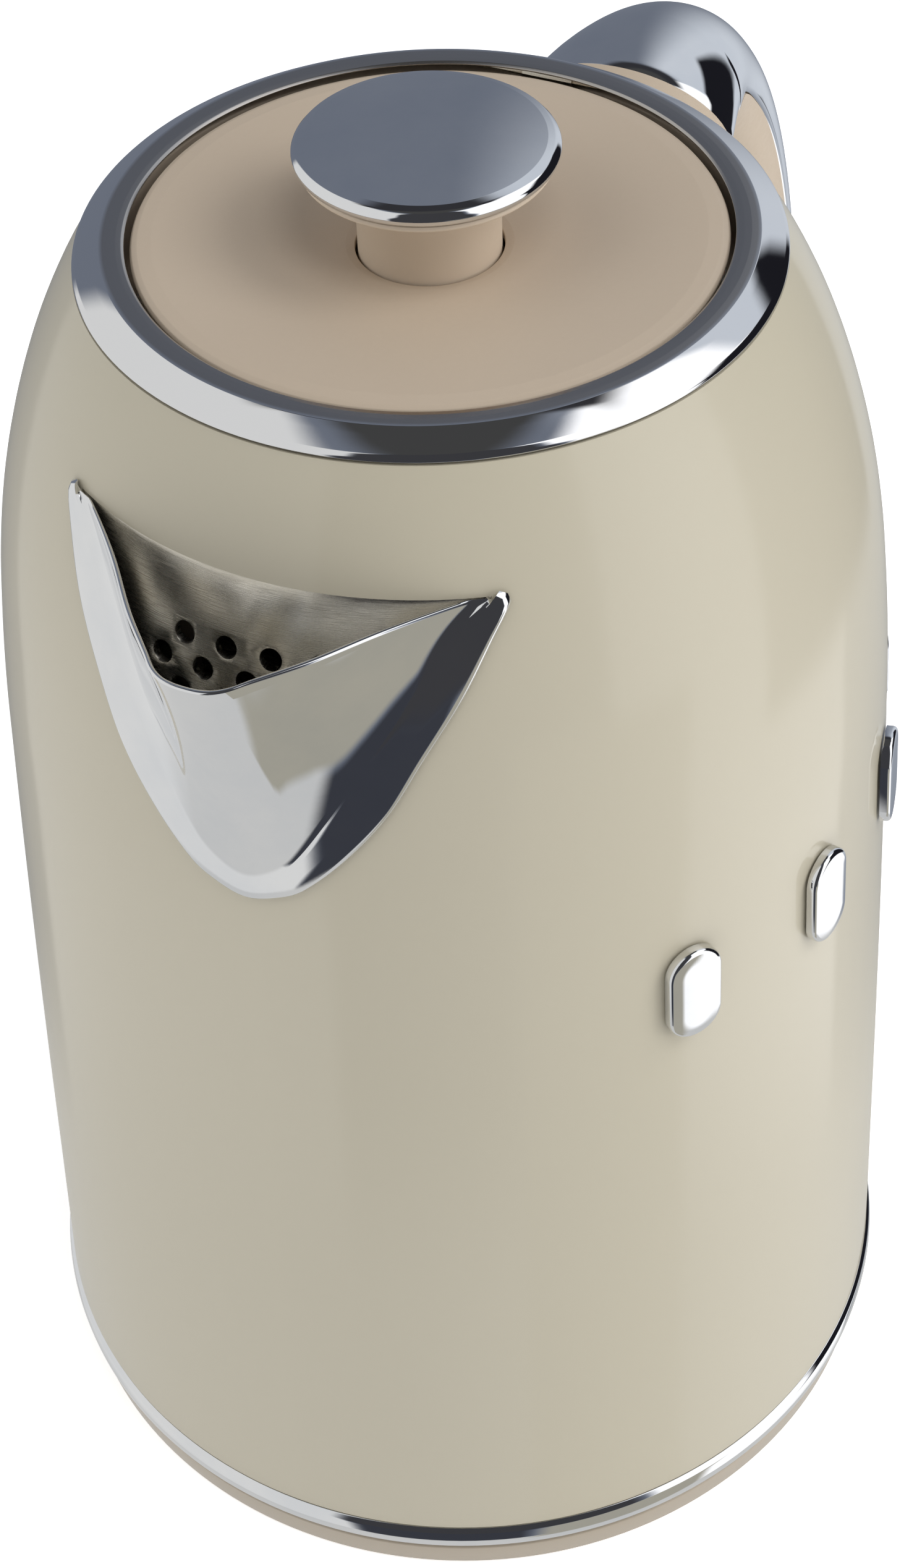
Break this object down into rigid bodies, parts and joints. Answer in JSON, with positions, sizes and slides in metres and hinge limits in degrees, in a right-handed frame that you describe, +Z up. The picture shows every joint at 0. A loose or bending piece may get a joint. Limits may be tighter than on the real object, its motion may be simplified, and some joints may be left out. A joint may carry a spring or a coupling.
{
  "type": "cordless electric kettle",
  "caption": "Tapered cordless jug kettle with chrome trim rings, beaked spout, arched handle and push-knob lid on a round power base.",
  "frame": {"origin": "centre of the power base's underside, on the surface it stands on", "axes": "+Z up along the kettle's axis, +X towards the handle, -X towards the pouring lip"},
  "size_m": [0.2261, 0.1552, 0.248],
  "materials": {
    "cream_enamel": "gloss cream enamel paint",
    "beige_plastic": "fine satin moulded plastic",
    "polished_chrome": "mirror chrome plating",
    "brushed_steel": "bare brushed stainless steel",
    "cast_aluminium": "as cast",
    "contact_brass": "plain",
    "black_plastic": "fine grained moulding",
    "grey_rubber": "matt",
    "clear_silicone": "translucent matt silicone",
    "gauge_window": "clear smoke tinted window"
  },
  "bodies": {
    "base": {"base_shell": "cream_enamel", "base_bottom_cover": "black_plastic", "base_foot_centre": "grey_rubber", "base_foot_1": "grey_rubber", "base_foot_2": "grey_rubber", "base_foot_3": "grey_rubber", "base_foot_4": "grey_rubber", "base_screw_1": "brushed_steel", "base_screw_2": "brushed_steel", "base_screw_3": "brushed_steel", "connector_post": "black_plastic", "connector_outer_contact": "contact_brass", "cord_inlet": "black_plastic"},
    "swivel": {"connector_centre_contact": "contact_brass"},
    "jug": {"body_shell": "cream_enamel", "strainer_plate": "brushed_steel", "water_gauge": "gauge_window", "bottom_ring": "polished_chrome", "top_ring": "polished_chrome", "neck_collar": "beige_plastic", "hinge_pin": "brushed_steel", "spout_beak": "polished_chrome", "badge_bar_1": "polished_chrome", "badge_bar_2": "polished_chrome", "badge_bar_3": "polished_chrome", "badge_bar_4": "polished_chrome", "jug_base": "black_plastic", "heating_plate": "brushed_steel", "heat_spreader": "cast_aluminium", "heating_element": "brushed_steel", "jug_connector": "black_plastic", "jug_outer_contact": "contact_brass", "jug_centre_contact": "contact_brass", "handle_grip": "beige_plastic", "handle_shell": "polished_chrome", "lever_pin": "brushed_steel", "steam_switch": "black_plastic", "steam_tube": "clear_silicone"},
    "lid": {"lid_top": "beige_plastic", "lid_cup": "brushed_steel", "lid_gasket": "clear_silicone", "lid_hinge_leaf": "brushed_steel", "knob_spring": "brushed_steel"},
    "knob": {"knob_stem": "beige_plastic", "knob_cap": "polished_chrome"},
    "left_bolt": {"latch_bolt_left": "brushed_steel"},
    "right_bolt": {"latch_bolt_right": "brushed_steel"},
    "lever": {"power_lever": "polished_chrome"},
    "filter": {"filter_frame": "beige_plastic", "filter_mesh": "brushed_steel"}
  },
  "joints": [
    {"name": "base_swivel", "type": "hinge", "parent": "base", "child": "swivel", "pos_m": [0, 0, 0.013], "axis": [0, 0, 1], "continuous": true},
    {"name": "jug_lift", "type": "slide", "parent": "swivel", "child": "jug", "axis": [0, 0, 1], "range_m": [0, 0.15]},
    {"name": "lid_hinge", "type": "hinge", "parent": "jug", "child": "lid", "pos_m": [0.0443, 0, 0.2309], "axis": [0, 1, 0], "range_deg": [0, 75]},
    {"name": "knob_press", "type": "slide", "parent": "lid", "child": "knob", "axis": [0, 0, -1], "range_m": [0, 0.003], "stiffness_N_per_m": 600, "deforming": ["knob_spring"]},
    {"name": "left_bolt_slide", "type": "slide", "parent": "lid", "child": "left_bolt", "axis": [0, -1, 0], "range_m": [0, 0.003]},
    {"name": "right_bolt_slide", "type": "slide", "parent": "lid", "child": "right_bolt", "axis": [0, 1, 0], "range_m": [0, 0.003]},
    {"name": "power_lever_tilt", "type": "hinge", "parent": "jug", "child": "lever", "pos_m": [0.093, 0, 0.0565], "axis": [0, 1, 0], "range_deg": [0, 10]},
    {"name": "filter_lift_out", "type": "slide", "parent": "jug", "child": "filter", "axis": [1, 0, 0], "range_m": [0, 0.03]}
  ],
  "couplings": [
    {"joint": "left_bolt_slide", "follows": "knob_press", "ratio": 0.8},
    {"joint": "right_bolt_slide", "follows": "knob_press", "ratio": 0.8}
  ]
}
